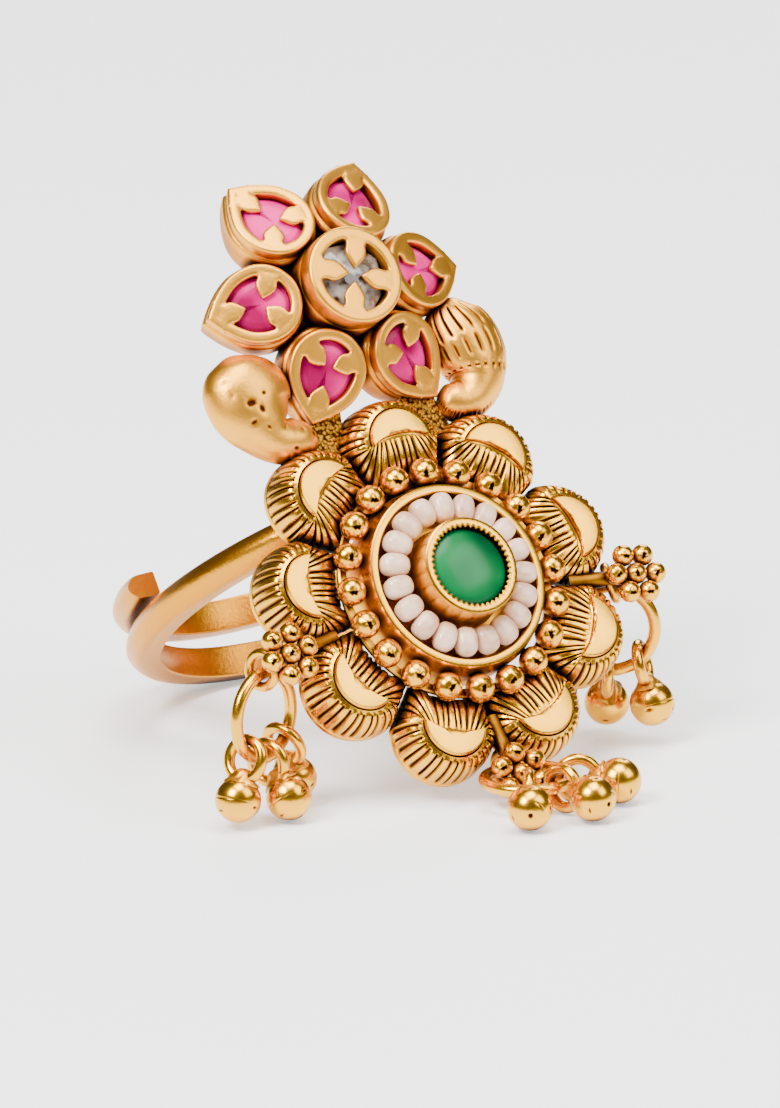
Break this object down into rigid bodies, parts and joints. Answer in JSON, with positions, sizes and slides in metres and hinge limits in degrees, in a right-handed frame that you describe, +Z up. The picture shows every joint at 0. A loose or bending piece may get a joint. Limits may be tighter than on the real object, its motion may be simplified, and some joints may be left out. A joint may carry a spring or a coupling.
{
  "type": "finger ring",
  "caption": "Antique gold finger ring with an open band, a round pearl and green stone head, fluted petals, a pink stone flower and hanging ball drops.",
  "frame": {"origin": "middle of the box round the part at the floor that the ring lies on", "axes": "+Z up from the floor, -Y towards the side that the face looks to, +X across the face to the right seen from the front"},
  "size_m": [0.0276, 0.0364, 0.0296],
  "materials": {
    "gold": "antique gold plating, polished high spots and dark recesses",
    "green_glass": "polished green stone",
    "pink_glass": "polished pink stone",
    "clear_glass": "polished clear stone",
    "pearl": "satin pearl"
  },
  "bodies": {
    "root": {"clear_stone": "clear_glass", "drop_bottom_1": "gold", "drop_bottom_2": "gold", "drop_bottom_3": "gold", "drop_left_1": "gold", "drop_left_2": "gold", "drop_left_3": "gold", "drop_right_1": "gold", "drop_right_2": "gold", "drop_right_3": "gold", "green_stone": "green_glass", "jump_ring_bottom": "gold", "jump_ring_left": "gold", "jump_ring_right": "gold", "pearl_01": "pearl", "pearl_02": "pearl", "pearl_03": "pearl", "pearl_04": "pearl", "pearl_05": "pearl", "pearl_06": "pearl", "pearl_07": "pearl", "pearl_08": "pearl", "pearl_09": "pearl", "pearl_10": "pearl", "pearl_11": "pearl", "pearl_12": "pearl", "pearl_13": "pearl", "pearl_14": "pearl", "pearl_15": "pearl", "pearl_16": "pearl", "pearl_17": "pearl", "pearl_18": "pearl", "pearl_19": "pearl", "pink_stone_1": "pink_glass", "pink_stone_2": "pink_glass", "pink_stone_3": "pink_glass", "pink_stone_4": "pink_glass", "pink_stone_5": "pink_glass", "pink_stone_6": "pink_glass", "setting": "gold"}
  },
  "joints": []
}
